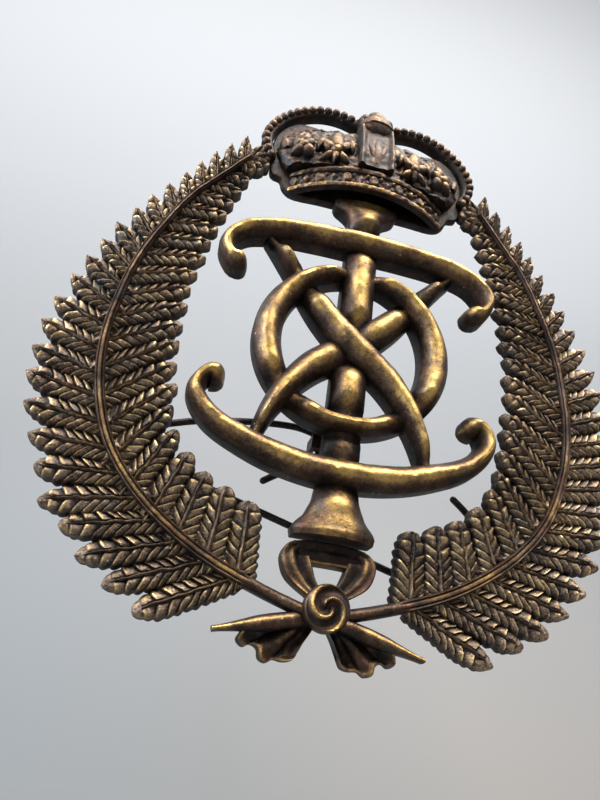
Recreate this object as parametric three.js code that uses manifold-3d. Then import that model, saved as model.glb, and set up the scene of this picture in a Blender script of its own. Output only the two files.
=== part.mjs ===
// Cap badge: a crown over a wreath of two fern fronds, tied below with a ribbon bow. Inside the
// wreath is an ornament of interlaced straps, and behind it a bent-wire keeper on a hinge lug.
// Millimetres. +X is to the right as the badge is seen, +Z is up towards the crown, and the
// face looks along -Y. The back of the wreath and of the crown lies in the plane y = 0.

import * as THREE from 'three';
import { mergeVertices } from 'three/addons/utils/BufferGeometryUtils.js';
import Module from 'manifold-3d';

const wasm = await Module();
wasm.setup();

// Driving dimensions, in millimetres.
const GAP = 0.3; // clearance left between neighbouring pieces
const PLATE_FRONT = -2.1; // front of the frond plates
const STRAP_BACK = -0.6; // the ornament's straps run from here ...
const STRAP_FRONT = -5.6; // ... to here
const STRAP_BEVEL = 0.8;
const STAFF_BEVEL = 0.5;
const STEM_BACK = -1.2; // the stems' free ends, below the wreath
const STEM_FRONT = -3.3;
const RING_CENTRE = [0, -1.2];
const RING_RADIUS = 12.6; // to the middle of the ring's strap
const RING_HALF = 1.35; // half its width at its top and foot ...
const RING_SWELL = 0.75; // ... and how much it gains towards its left and right
const RING_SIDES = 48;
const LEAVES_OUTSIDE = 24; // on the outer side of each frond
const LEAVES_INSIDE = 21;
const CROWN_PLATE_FRONT = -1.6;
const CROWN_BOTTOM = 26.2;
const BAND_TOP = 30.4;
const BAND_RADIUS = 20.3; // of the band's outer face, seen from above
const BAND_WALL = 1.2;
const BAND_HALF_CHORD = 13.3;
const CAP_RADIUS = 36.5; // of the crown cap's curved front, seen from above
const CAP_FRONT = -6.2;
const ORNAMENT_DEPTH = 1;
const RIB_HALF = 2.9;
const WIRE_RADIUS = 0.5;
const WIRE_Y = 2.7; // the keeper lies this far behind the wreath's back
const FORK_SLOT_HALF = 0.95;
const PIVOT_X = -27.6; // the keeper's hinge axis is vertical
const PIVOT_Z = -19.8;

const bronze = () => new THREE.MeshStandardMaterial({ color: 0x6b5238, roughness: 0.5, metalness: 0.9 });
const brass = () => new THREE.MeshStandardMaterial({ color: 0xa67c3d, roughness: 0.38, metalness: 1 });
const steel = () => new THREE.MeshStandardMaterial({ color: 0x24211f, roughness: 0.6, metalness: 0.8 });

const badge = new THREE.Group();
badge.name = 'cap_badge';

function addPiece(name, geometry, material) {
  const mesh = new THREE.Mesh(geometry, material);
  mesh.name = name;
  badge.add(mesh);
}

// ---- Solids -----------------------------------------------------------------------------

function solidOf(geometry) {
  const bare = geometry.clone();
  bare.deleteAttribute('normal');
  bare.deleteAttribute('uv');
  const merged = mergeVertices(bare, 1e-4);
  return new wasm.Manifold(new wasm.Mesh({
    numProp: 3,
    vertProperties: Float32Array.from(merged.attributes.position.array),
    triVerts: Uint32Array.from(merged.index.array),
  }));
}

function geometryOf(solid) {
  const mesh = solid.getMesh();
  const geometry = new THREE.BufferGeometry();
  geometry.setAttribute('position', new THREE.BufferAttribute(mesh.vertProperties, 3));
  geometry.setIndex(new THREE.BufferAttribute(mesh.triVerts, 1));
  geometry.computeVertexNormals();
  return geometry;
}

// An outline drawn in the badge's X-Z plane, given thickness from yBack forward to yFront.
function plate(shape, yBack, yFront, bevel = 0) {
  const geometry = new THREE.ExtrudeGeometry(shape, {
    depth: yBack - yFront - 2 * bevel,
    curveSegments: 6,
    bevelEnabled: bevel > 0,
    bevelThickness: bevel,
    bevelSize: bevel,
    bevelOffset: -bevel,
    bevelSegments: 1,
  });
  geometry.translate(0, 0, bevel);
  geometry.rotateX(Math.PI / 2);
  geometry.translate(0, yBack, 0);
  return geometry;
}

function block(xLow, xHigh, yLow, yHigh, zLow, zHigh) {
  const geometry = new THREE.BoxGeometry(xHigh - xLow, yHigh - yLow, zHigh - zLow);
  geometry.translate((xLow + xHigh) / 2, (yLow + yHigh) / 2, (zLow + zHigh) / 2);
  return geometry;
}

// ---- Curves and outlines ----------------------------------------------------------------

const toVectors = (pairs, side = 1) => pairs.map(([x, z]) => new THREE.Vector3(side * x, z, 0));

function smoothLine(pairs, side = 1) {
  return new THREE.CatmullRomCurve3(toVectors(pairs, side), false, 'centripetal');
}

// A straight-sided outline, drawn anticlockwise whichever side it is on.
function mirrored(points, side) {
  const corners = points.map(([x, z]) => new THREE.Vector2(side * x, z));
  return new THREE.Shape(THREE.ShapeUtils.isClockWise(corners) ? corners.reverse() : corners);
}

// A half outline from top to bottom on the +X side, closed with its mirror image.
function symmetric(half) {
  const other = half.filter(([x]) => x > 0).map(([x, z]) => [-x, z]).reverse();
  return mirrored([...half, ...other], 1);
}

// A strap of varying half width along a line, with round ends, widened all round by grow.
function strapShape(line, halfWidth, steps, grow = 0) {
  const near = [];
  const far = [];
  for (let i = 0; i <= steps; i++) {
    const t = i / steps;
    const middle = line.getPointAt(t);
    const tangent = line.getTangentAt(t);
    const half = halfWidth(t) + grow;
    near.push(new THREE.Vector2(middle.x - tangent.y * half, middle.y + tangent.x * half));
    far.unshift(new THREE.Vector2(middle.x + tangent.y * half, middle.y - tangent.x * half));
  }
  return new THREE.Shape([...near, ...roundEnd(line, 1, halfWidth, grow), ...far,
    ...roundEnd(line, 0, halfWidth, grow)]);
}

// The points of a half circle round one end of a strap, between its two edges.
function roundEnd(line, t, halfWidth, grow) {
  const middle = line.getPointAt(t);
  const tangent = line.getTangentAt(t);
  const start = Math.atan2(tangent.y, tangent.x) + (t === 1 ? Math.PI / 2 : -Math.PI / 2);
  const half = halfWidth(t) + grow;
  return [1, 2, 3].map((k) => {
    const angle = start - (k * Math.PI) / 4;
    return new THREE.Vector2(middle.x + half * Math.cos(angle), middle.y + half * Math.sin(angle));
  });
}

// ---- Fronds -----------------------------------------------------------------------------

// Lines of the right-hand frond; the left-hand one is its mirror image.
const STEM_LINE = [[-13, -42], [-3.5, -39.6], [4, -38], [15, -34.2], [21, -30.8], [26, -26.8],
  [30, -21.8], [32.8, -15], [34, -8], [33.8, -1], [32.8, 6], [30.6, 13], [27.6, 20],
  [23.6, 26], [20.2, 31]];
const OUTER_TIPS = [[22.6, -41.4], [30, -36.6], [36.3, -29.9], [40, -22.5], [42.2, -15.9],
  [42.7, -9], [42.3, -3], [39.8, 5], [36.9, 12.5], [32.7, 20.2], [29, 25.8], [25.6, 31], [21.2, 36]];
const INNER_TIPS = [[10.9, -25.9], [14.5, -24.8], [19, -22], [22.4, -17.7], [23.5, -12],
  [24.3, -5], [24.6, 0], [24.1, 6], [22.9, 13], [21.6, 19], [19.8, 25.4], [19, 28.8]];
const CROWN_END = [[19.7, 33.4], [18, 33], [17.2, 31.4], [17, 29.6]]; // reaches to the crown
const FIRST_ROOT = 0.235; // where along the stem the first and last leaves spring
const LAST_ROOT = 0.985;
const CROWDING = 0.14; // the leaves stand closer together towards the crown

// Root and tip of leaf number i out of count, on one side of a frond.
function leafLine(tips, i, count) {
  const even = i / (count - 1);
  const t = even * (1 + CROWDING * (1 - even));
  const root = smoothLine(STEM_LINE).getPointAt(THREE.MathUtils.lerp(FIRST_ROOT, LAST_ROOT, t));
  return { root, tip: smoothLine(tips).getPointAt(t) };
}

// Each leaf is a blunt finger: up one flank, over the tip, down the other to the next valley.
function leafEdge(tips, count) {
  const leaves = Array.from({ length: count }, (_, i) => leafLine(tips, i, count));
  const edge = [];
  leaves.forEach(({ root, tip }, i) => {
    const along = tip.clone().sub(root).normalize();
    const across = new THREE.Vector3(-along.y, along.x, 0);
    const spacing = tip.distanceTo((leaves[i + 1] ?? leaves[i - 1]).tip);
    const half = 0.3 * spacing;
    const upward = across.dot(leaves[count - 1].tip.clone().sub(leaves[0].tip)) > 0 ? 1 : -1;
    const shoulder = tip.clone().addScaledVector(along, -0.3 * spacing);
    for (const sign of [-upward, 0, upward]) {
      const point = sign === 0 ? tip : shoulder.clone().addScaledVector(across, sign * half);
      edge.push([point.x, point.y]);
    }
    const next = leaves[i + 1];
    if (next) {
      const valley = tip.clone().add(next.tip).multiplyScalar(0.5);
      const depth = THREE.MathUtils.lerp(0.42, 0.34, i / count);
      valley.lerp(root.clone().add(next.root).multiplyScalar(0.5), depth);
      edge.push([valley.x, valley.y]);
    }
  });
  return edge;
}

function frond(side) {
  const outer = leafEdge(OUTER_TIPS, LEAVES_OUTSIDE);
  const inner = leafEdge(INNER_TIPS, LEAVES_INSIDE).reverse();
  const foot = [[9.9, -31], [11.2, -34.6], [14.2, -36.4]];
  return plate(mirrored([...outer, ...CROWN_END, ...inner, ...foot], side), 0, PLATE_FRONT);
}

// A stem lies on its frond, crosses the other stem under the knot and ends in a cut tail.
function stemHalfWidth(t) {
  return THREE.MathUtils.lerp(0.95, 0.7, t);
}

function stem(side) {
  const line = smoothLine(STEM_LINE, side);
  const onFrond = solidOf(plate(strapShape(line, stemHalfWidth, 44), PLATE_FRONT - GAP, STEM_FRONT));
  const below = solidOf(plate(strapShape(line, stemHalfWidth, 44), STEM_BACK, STEM_FRONT + 0.4));
  const clearOfLeaves = solidOf(block(-50, 50, -9, 9, -50, 50)).subtract(
    solidOf(block(Math.min(side * 9.4, side * 60), Math.max(side * 9.4, side * 60), -9, 9, -45, 50)));
  const solid = onFrond.add(below.intersect(clearOfLeaves));
  const grown = solidOf(plate(strapShape(line, stemHalfWidth, 44, GAP), 1, -8));
  return { solid, grown };
}

// ---- Half-lap crossings -----------------------------------------------------------------

const EVERYWHERE = [-60, 60, -60, 60];

// Where two pieces cross, one keeps what lies in front of the level and the other what lies
// behind it, with the clearance between them.
function lap(over, under, level, [xLow, xHigh, zLow, zHigh] = EVERYWHERE) {
  const behind = solidOf(block(xLow, xHigh, level - GAP / 2, 9, zLow, zHigh));
  const before = solidOf(block(xLow, xHigh, -12, level + GAP / 2, zLow, zHigh));
  over.solid = over.solid.subtract(under.grown.intersect(behind));
  under.solid = under.solid.subtract(over.grown.intersect(before));
}

// ---- Ornament ---------------------------------------------------------------------------

function strap(line, halfWidth, steps) {
  const solid = solidOf(plate(strapShape(line, halfWidth, steps), STRAP_BACK, STRAP_FRONT, STRAP_BEVEL));
  const grown = solidOf(plate(strapShape(line, halfWidth, steps, GAP), 1, -8));
  return { solid, grown };
}

// A tapering column with a collar under the crown and a bell foot on the bow.
function staffShape(grow) {
  const half = [[5.2, 25.8], [5, 24.6], [3.5, 23.5], [2.6, 22.4], [2.5, 20], [2.6, -21], [3.1, -24.4],
    [4.2, -26.8], [5.9, -28.1], [5.8, -29.6]];
  return symmetric(half.map(([x, z]) => [x + grow, z]));
}

function circle(x, z, radius, count) {
  return Array.from({ length: count }, (_, i) => {
    const angle = (2 * Math.PI * i) / count;
    return new THREE.Vector2(x + radius * Math.cos(angle), z + radius * Math.sin(angle));
  });
}

// The ring's outer edge (side 1) or inner edge (side -1), widened by grow.
function ringEdge(side, grow) {
  return circle(0, 0, 1, RING_SIDES).map((spoke) => {
    const half = RING_HALF + RING_SWELL * spoke.x ** 2 + grow;
    return spoke.multiplyScalar(RING_RADIUS + side * half).add(new THREE.Vector2(...RING_CENTRE));
  });
}

function ringShape(grow) {
  const shape = new THREE.Shape(ringEdge(1, grow));
  shape.holes.push(new THREE.Path(ringEdge(-1, grow)));
  return shape;
}

// A crossed blade, thickest in the middle, from under the upper scroll to the lower one.
function blade(side) {
  const line = smoothLine([[-15, 15.6], [-10, 9.8], [-5, 3.6], [0, -1.2], [5.6, -5.6],
    [10, -12], [12.4, -18.8]], side);
  return strap(line, (t) => 1 + 1.45 * Math.sin(Math.PI * t) ** 1.3, 24);
}

// A scroll: it bows gently up or down, and both ends roll in to a small round eye.
function scroll(halfLine) {
  const left = halfLine.map(([x, z]) => [-x, z]).reverse();
  const line = smoothLine([...left, ...halfLine.slice(1)]);
  return strap(line, (t) => 1.2 + 0.85 * Math.sin(Math.PI * t) ** 1.2, 48);
}

function ornament() {
  const staff = {
    solid: solidOf(plate(staffShape(0), STRAP_BACK, STRAP_FRONT, STAFF_BEVEL)),
    grown: solidOf(plate(staffShape(GAP), 1, -8)),
  };
  const ring = {
    solid: solidOf(plate(ringShape(0), STRAP_BACK, STRAP_FRONT, STRAP_BEVEL)),
    grown: solidOf(plate(ringShape(GAP), 1, -8)),
  };
  const rising = blade(1);
  const falling = blade(-1);
  const upper = scroll([[0, 17.6], [7, 17.5], [13.4, 16.8], [18.6, 15], [20.8, 11.8], [19.4, 9.2],
    [17.2, 9.6]]);
  const lower = scroll([[0, -20.8], [7, -20.2], [13, -18.6], [18.4, -16], [20.8, -12.6],
    [19.4, -10.1], [17.2, -10.6]]);

  const middle = (STRAP_BACK + STRAP_FRONT) / 2;
  const nearTop = [-4, 4, 5, 14];
  const nearBottom = [-4, 4, -16, -8];
  lap(staff, ring, middle, nearTop);
  lap(ring, staff, middle, nearBottom);
  lap(ring, rising, middle, [-14, 0, 0, 14]);
  lap(rising, ring, middle, [0, 14, -14, 0]);
  lap(ring, falling, middle, [0, 14, 0, 14]);
  lap(falling, ring, middle, [-14, 0, -14, 0]);
  lap(rising, staff, STRAP_BACK - 1.25, [-8, 8, -9, 7]);
  lap(falling, staff, STRAP_BACK - 1.25, [-8, 8, -9, 7]);
  lap(rising, falling, STRAP_FRONT + 1.25);
  lap(upper, staff, middle);
  lap(lower, staff, middle);
  lap(upper, rising, middle);
  lap(upper, falling, middle);
  lap(lower, rising, middle);
  lap(lower, falling, middle);

  // The scrolls' outer ends rest on the faces of the fronds.
  for (const [piece, edge] of [[upper, 19], [lower, 19]]) {
    for (const side of [-1, 1]) {
      const seat = block(Math.min(side * edge, side * 30), Math.max(side * edge, side * 30),
        PLATE_FRONT - GAP, 2, -30, 30);
      piece.solid = piece.solid.subtract(solidOf(seat));
    }
  }

  addPiece('staff', geometryOf(staff.solid), brass());
  addPiece('ring', geometryOf(ring.solid), brass());
  addPiece('blade_rising', geometryOf(rising.solid), brass());
  addPiece('blade_falling', geometryOf(falling.solid), brass());
  addPiece('upper_scroll', geometryOf(upper.solid), brass());
  addPiece('lower_scroll', geometryOf(lower.solid), brass());
}

// ---- Wreath and bow ---------------------------------------------------------------------

function wreath() {
  addPiece('left_frond', frond(-1), bronze());
  addPiece('right_frond', frond(1), bronze());
  const left = stem(-1);
  const right = stem(1);
  lap(left, right, (STEM_BACK + STEM_FRONT) / 2, [-8, 8, -50, -30]);
  addPiece('left_stem', geometryOf(left.solid), bronze());
  addPiece('right_stem', geometryOf(right.solid), bronze());
}

function bow() {
  const loop = symmetric([[3.4, -30.1], [5.6, -31.4], [5.9, -33], [3.9, -35.8], [2.2, -36.6],
    [1.2, -36.2]]);
  loop.holes.push(new THREE.Path([[-2.2, -33.4], [2.2, -33.4], [1.2, -35], [-1.2, -35]]
    .map(([x, z]) => new THREE.Vector2(x, z))));
  addPiece('ribbon_loop', plate(loop, -0.5, STEM_FRONT, 0.3), bronze());

  for (const [name, side] of [['ribbon_tail_left', -1], ['ribbon_tail_right', 1]]) {
    const tail = mirrored([[1, -38.6], [5, -39.6], [9.8, -42.6], [9.4, -43.8], [7.4, -43.3],
      [6.6, -44.6], [5.9, -44.9], [3.2, -44], [2.2, -42.2]], side);
    addPiece(name, plate(tail, 0, STEM_BACK + GAP), bronze());
  }

  const knotProfile = [[0, 0], [2.7, 0], [2.9, 0.5], [2.7, 1.2], [2, 1.7], [0, 1.9]];
  const knot = new THREE.LatheGeometry(knotProfile.map(([r, y]) => new THREE.Vector2(r, y)), 24);
  knot.rotateX(Math.PI);
  knot.translate(0, STEM_FRONT - GAP, -38);
  addPiece('bow_knot', knot, brass());
}

// ---- Crown ------------------------------------------------------------------------------

// A circular segment seen from above, its chord along X at yChord and its arc towards -Y.
function segmentSolid(radius, halfChord, yChord, zLow, zHigh) {
  const centre = Math.sqrt(radius * radius - halfChord * halfChord);
  const shape = new THREE.Shape();
  const angle = Math.asin(halfChord / radius);
  shape.absarc(0, centre, radius, -Math.PI / 2 - angle, -Math.PI / 2 + angle);
  shape.closePath();
  const geometry = new THREE.ExtrudeGeometry(shape, {
    depth: zHigh - zLow, bevelEnabled: false, curveSegments: 20,
  });
  geometry.translate(0, yChord, zLow);
  return solidOf(geometry);
}

// A leaf with one upright and two drooping petals on a short stalk.
function leafOrnament(size) {
  const half = [[0, 1.25], [0.34, 0.75], [0.3, 0.2], [0.7, 0.45], [0.95, 0.1], [0.62, -0.25],
    [0.22, -0.25], [0.3, -1.1]];
  return symmetric(half.map(([x, z]) => [x * size, z * size]));
}

// Four round lobes about a centre.
function quatrefoil(size) {
  const points = [];
  for (let i = 0; i < 24; i++) {
    const angle = (Math.PI * i) / 12;
    const radius = size * (0.78 + 0.22 * Math.abs(Math.cos(2 * angle)));
    points.push([radius * Math.cos(angle), radius * Math.sin(angle)]);
  }
  return mirrored(points, 1);
}

// A flat ornament standing on the band and facing out from the cap's curved front.
function rimOrnament(name, shape, x, z) {
  const geometry = new THREE.ExtrudeGeometry(shape, {
    depth: ORNAMENT_DEPTH, bevelEnabled: false,
  });
  geometry.rotateX(Math.PI / 2);
  geometry.translate(0, -CAP_RADIUS - GAP, z);
  geometry.rotateZ(Math.asin(x / CAP_RADIUS));
  geometry.translate(0, CAP_FRONT + CAP_RADIUS, 0);
  addPiece(name, geometry, bronze());
}

// A solid of constant X section, from an outline drawn in the Y-Z plane.
function sideways(pairs, halfWidth) {
  const shape = new THREE.Shape(pairs.map(([y, z]) => new THREE.Vector2(y, z)));
  const geometry = new THREE.ExtrudeGeometry(shape, { depth: 2 * halfWidth, bevelEnabled: false });
  geometry.rotateX(Math.PI / 2);
  geometry.rotateZ(Math.PI / 2);
  geometry.translate(-halfWidth, 0, 0);
  return geometry;
}

function crown() {
  const back = symmetric([[13.2, CROWN_BOTTOM], [14, 27.2], [14.4, 29.5], [16.4, 29.2],
    [16.7, 33.6], [16.6, 37.1], [15.2, 40.1], [12.8, 42.1], [10.6, 42.5], [8, 42.3], [4, 42.2]]);
  addPiece('crown_back_plate', plate(back, 0, CROWN_PLATE_FRONT), bronze());

  const chordY = CROWN_PLATE_FRONT - GAP;
  const band = segmentSolid(BAND_RADIUS, BAND_HALF_CHORD, chordY, CROWN_BOTTOM, BAND_TOP);
  const hollow = segmentSolid(BAND_RADIUS - BAND_WALL, BAND_HALF_CHORD - BAND_WALL, chordY + 0.5,
    CROWN_BOTTOM - 1, BAND_TOP + 1);
  addPiece('crown_band', geometryOf(band.subtract(hollow)), brass());

  // The cap swells forward at its foot, is curved across, and leans back towards its top.
  const halfChord = Math.sqrt(CAP_RADIUS ** 2 - (CAP_RADIUS - (chordY - CAP_FRONT)) ** 2);
  const fromAbove = segmentSolid(CAP_RADIUS, halfChord, chordY, BAND_TOP + GAP, 42.2);
  const fromFront = plate(symmetric([[13.9, 30.6], [16.2, 34], [16, 36.8], [14.6, 39.6], [12, 41.4],
    [8.6, 42.1]]), 1, -12);
  const fromSide = sideways([[-1.9, 30.6], [CAP_FRONT, 30.6], [-6, 34], [-5, 38], [-3.6, 41.2],
    [-1.9, 42.2]], 20);
  const cap = fromAbove.intersect(solidOf(fromFront)).intersect(solidOf(fromSide));
  addPiece('crown_cap', geometryOf(cap), bronze());

  for (const [word, side] of [['left', -1], ['right', 1]]) {
    rimOrnament(`rim_leaf_${word}`, leafOrnament(3.1), side * 6.6, 34);
    rimOrnament(`rim_quatrefoil_${word}`, quatrefoil(2.1), side * 12, 33.6);
    const line = smoothLine([[17.9, 34.6], [18, 37.6], [16.5, 41], [13.5, 44], [9.7, 45.8],
      [6.4, 46.1], [3.6, 45.4]], side);
    addPiece(`crown_arch_${word}`, plate(strapShape(line, () => 0.95, 20), -0.4, -2.6, 0.3), bronze());
  }

  const rib = sideways([[-6.5, 30.8], [-6.3, 34.3], [-5.2, 38.3], [-3.5, 41.9], [-2.7, 43.3],
    [-3.5, 44.2], [-4.8, 42.9], [-6.5, 39], [-7.6, 34.6], [-7.8, 30.8]], RIB_HALF);
  addPiece('crown_centre_rib', rib, brass());

  const turned = [[0, 0], [1.9, 0], [1.8, 0.3], [2.3, 0.9], [2.3, 1.5], [1.8, 2.1], [0.9, 2.4], [0, 2.5]];
  const finial = new THREE.LatheGeometry(turned.map(([r, z]) => new THREE.Vector2(r, z)), 20);
  finial.rotateX(Math.PI / 2);
  finial.translate(0, -3.1, 44.5);
  addPiece('crown_finial', finial, brass());
}

// ---- Keeper -----------------------------------------------------------------------------

// One bent wire. Its short upright run turns in the lug behind the left-hand frond; from there
// the upper leg ends in a hook behind the staff and the lower leg in one behind the right frond.
const WIRE_ROUTE = [[-9.6, -21.9], [-7.8, -20.6], [-5.6, -19.2], [-2.5, -17.2], [-1.9, -15.4],
  [-2.2, -13.8], [-4.6, -12.9], [-9.6, -13], [-19.5, -14.8], [-23.2, -16], [-26.4, -17.1], [PIVOT_X, -18.1],
  [PIVOT_X, PIVOT_Z], [PIVOT_X, -21.5], [-26.4, -22.3], [-22, -22.8], [-9.4, -25.95], [0, -28.4],
  [9.8, -31], [13.6, -31.9], [18.6, -30.2], [21.9, -25.6], [21.8, -22.2], [20.3, -20.5],
  [18.2, -18.8]];

function keeperWire() {
  const route = new THREE.CatmullRomCurve3(WIRE_ROUTE.map(([x, z]) => new THREE.Vector3(x, WIRE_Y, z)),
    false, 'centripetal');
  const section = new THREE.Shape();
  section.absarc(0, 0, WIRE_RADIUS, 0, 2 * Math.PI);
  return new THREE.ExtrudeGeometry(section, {
    steps: 72, curveSegments: 4, bevelEnabled: false, extrudePath: route,
  });
}

// A fork on the back of the badge, open to the rear, that the wire springs into.
function fork(x, z) {
  const body = solidOf(block(x - 1.6, x + 1.6, GAP, 4, z - 1, z + 1));
  const slot = solidOf(block(x - FORK_SLOT_HALF, x + FORK_SLOT_HALF, WIRE_Y - WIRE_RADIUS - GAP, 5,
    z - 2, z + 2));
  return geometryOf(body.subtract(slot));
}

function keeper() {
  const bore = new THREE.CylinderGeometry(WIRE_RADIUS + GAP, WIRE_RADIUS + GAP, 6, 16);
  bore.rotateX(Math.PI / 2);
  bore.translate(PIVOT_X, WIRE_Y, PIVOT_Z);
  const lug = solidOf(block(PIVOT_X - 1.7, PIVOT_X + 1.7, GAP, 4.3, PIVOT_Z - 1, PIVOT_Z + 1));
  addPiece('keeper_lug', geometryOf(lug.subtract(solidOf(bore))), bronze());
  addPiece('staff_fork', fork(-1.95, -15.3), bronze());
  addPiece('frond_fork', fork(21.8, -24.8), bronze());
  addPiece('keeper_wire', keeperWire(), steel());
}

wreath();
bow();
ornament();
crown();
keeper();

export default badge;
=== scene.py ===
"""Cap badge: crown, fern wreath, ribbon bow, interlaced strap ornament and a hinged wire keeper.

Lengths are in millimetres in the row frame until Shell.object turns them into metres:
+X right as the badge is seen, +Z up towards the crown, and the face looks along -Y.
"depth" is the distance forward of the wreath's flat back, so y = -depth.
Each vertex's "wear" value runs from 0, a black hollow, to 1, rubbed metal; in places it also holds painted
highlights and painted shade.
"""

import math
import random
from math import cos, pi, sin, sqrt

import bmesh
import bpy
import numpy as np
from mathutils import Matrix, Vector, noise


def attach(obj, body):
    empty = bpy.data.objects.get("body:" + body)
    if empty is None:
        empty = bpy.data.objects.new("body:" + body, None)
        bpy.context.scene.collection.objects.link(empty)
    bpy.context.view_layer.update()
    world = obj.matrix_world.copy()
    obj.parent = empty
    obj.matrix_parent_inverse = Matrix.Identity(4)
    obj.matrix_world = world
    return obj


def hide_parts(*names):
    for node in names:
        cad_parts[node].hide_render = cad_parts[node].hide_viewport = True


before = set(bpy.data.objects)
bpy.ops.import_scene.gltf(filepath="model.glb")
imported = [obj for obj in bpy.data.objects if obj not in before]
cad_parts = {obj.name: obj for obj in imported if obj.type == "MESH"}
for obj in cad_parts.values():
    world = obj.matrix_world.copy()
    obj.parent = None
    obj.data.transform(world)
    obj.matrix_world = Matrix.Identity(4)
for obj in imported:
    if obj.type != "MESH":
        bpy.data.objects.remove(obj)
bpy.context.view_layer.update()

MM = 0.001
SEED = 7
FINE = 1  # mesh fineness; coarser while working
SIDES = (("left", -1), ("right", 1))

# ---- Camera, light and floor ----

CAMERA_AT = Vector((-18.4, -80.9, -50))
CAMERA_AIM = Vector((0.1349, 0.8869, 0.4419))  # the direction it looks in
CAMERA_RIGHT = Vector((0.9699, -0.2093, 0.1240))
LENS = 28.8
SOFTBOXES = [  # name, place, size, power, colour, the point it faces
    ("key", (60, -170, 360), (400, 250), 5, (1, 0.96, 0.90), (0, 0, 0)),
    ("side", (-330, -60, 120), (140, 260), 2.6, (0.86, 0.93, 1), (0, 0, 0)),
    ("backdrop", (-200, 0, 1600), (2800, 900), 15.5, (0.97, 0.985, 1), (-300, 1100, 1300)),
]
WORLD_STRENGTH = 0.9
WORLD_RAMP = [(0, (0.10, 0.11, 0.13)), (0.40, (0.16, 0.17, 0.20)), (0.52, (0.34, 0.36, 0.40)),
              (0.66, (0.62, 0.65, 0.70)), (0.85, (0.95, 0.96, 0.98)), (1, (1, 1, 1))]
FLOOR_LEVEL = -130
FLOOR_HALF = 4000
SWEEP_START = 600  # the floor curves up into a wall from here
SWEEP_RADIUS = 500
SWEEP_TOP = 4200
SWEEP_STEPS = 24
GREYS = [(0, (0.43, 0.435, 0.44)), (0.25, (0.64, 0.645, 0.65)), (0.55, (0.83, 0.84, 0.85)),
         (1, (0.88, 0.88, 0.88))]
GREYS_TOP = 1900  # the greys, painted shade that is darker low down, run from the floor to this height
PAINTED_REFLECTION_TINTS = [(0, (0.74, 0.80, 0.85)), (0.5, (0.77, 0.765, 0.75)), (1, (1, 0.93, 0.86))]
TINTS_FROM = -300  # the painted reflections' tints run from this X to that one, and fade out up to TINTS_TOP
TINTS_TO = 450
TINTS_TOP = 450
UNDER_BADGE = 0.58  # the floor's painted shade nearer than UNDER_END
UNDER_END = 250


def new_object(name, data):
    made = bpy.data.objects.new(name, data)
    bpy.context.scene.collection.objects.link(made)
    return made


def add_camera():
    data = bpy.data.cameras.new("camera")
    data.lens = LENS
    data.clip_start = MM
    camera = new_object("camera", data)
    back = -CAMERA_AIM.normalized()
    up = back.cross(CAMERA_RIGHT).normalized()
    right = up.cross(back)
    matrix = camera.matrix_world.copy()
    for row in range(3):
        matrix[row] = (right[row], up[row], back[row], CAMERA_AT[row] * MM)
    camera.matrix_world = matrix
    bpy.context.scene.camera = camera


def add_softbox(name, at, size, power, colour, aim):
    data = bpy.data.lights.new(name, "AREA")
    data.shape = "RECTANGLE"
    data.size, data.size_y = (side * MM for side in size)
    data.energy = power
    data.color = colour
    light = new_object(name, data)
    light.location = Vector(at) * MM
    light.rotation_euler = (Vector(aim) - Vector(at)).to_track_quat("-Z", "Y").to_euler()


def add_world():
    """A plain studio: bright overhead and in front, darker underneath, so that undersides stay dark."""
    world = bpy.data.worlds.new("studio")
    bpy.context.scene.world = world
    tree = Tree(world, "Background")
    height = tree.span(tree.split(tree.node("TexCoord")["Generated"])["Z"], -1, 1)
    tree.finish({"Color": tree.ramp(height, WORLD_RAMP), "Strength": WORLD_STRENGTH})


def floor_paint():
    """Grey that lightens up the sweep, painted shade darker low down; low down it has painted reflections,
    cool on the left and warm on the right, and painted shade near the badge.
    """
    tree = Tree(bpy.data.materials.new("floor_paint"))
    place = tree.split(tree.place)
    ground = FLOOR_LEVEL * MM
    # painted shade: darker low down, lighter up the sweep
    grey = tree.ramp(tree.span(place["Z"], ground, GREYS_TOP * MM), GREYS)
    # painted reflections: cool on the left, warm on the right, fading out upwards
    painted_reflection = tree.ramp(tree.span(place["X"], TINTS_FROM * MM, TINTS_TO * MM), PAINTED_REFLECTION_TINTS)
    low = tree.span(place["Z"], ground, TINTS_TOP * MM, 1, 0)
    # painted shade on the floor near the badge
    painted_shade = tree.span(place["Y"], UNDER_END * MM, SWEEP_START * MM, UNDER_BADGE)
    tinted = tree.mix(low, grey, painted_reflection, "MULTIPLY")
    shaded = tree.node("VectorMath", {0: tinted, "Scale": painted_shade}, operation="SCALE")[0]
    return tree.finish({"Base Color": shaded, "Roughness": 0.85})


def add_floor():
    """A pale floor that sweeps up far behind the badge."""
    profile = [(-FLOOR_HALF, FLOOR_LEVEL), (SWEEP_START, FLOOR_LEVEL)]
    for k in range(1, SWEEP_STEPS + 1):
        angle = pi / 2 * k / SWEEP_STEPS
        profile.append((SWEEP_START + SWEEP_RADIUS * sin(angle),
                        FLOOR_LEVEL + SWEEP_RADIUS * (1 - cos(angle))))
    profile.append((SWEEP_START + SWEEP_RADIUS, SWEEP_TOP))
    points = [(x * MM, y * MM, z * MM) for y, z in profile for x in (-FLOOR_HALF, FLOOR_HALF)]
    faces = [(2 * k, 2 * k + 1, 2 * k + 3, 2 * k + 2) for k in range(len(profile) - 1)]
    mesh = bpy.data.meshes.new("floor")
    mesh.from_pydata(points, [], faces)
    mesh.shade_smooth()
    mesh.materials.append(floor_paint())
    new_object("floor", mesh)


# ---- Materials ----

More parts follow.
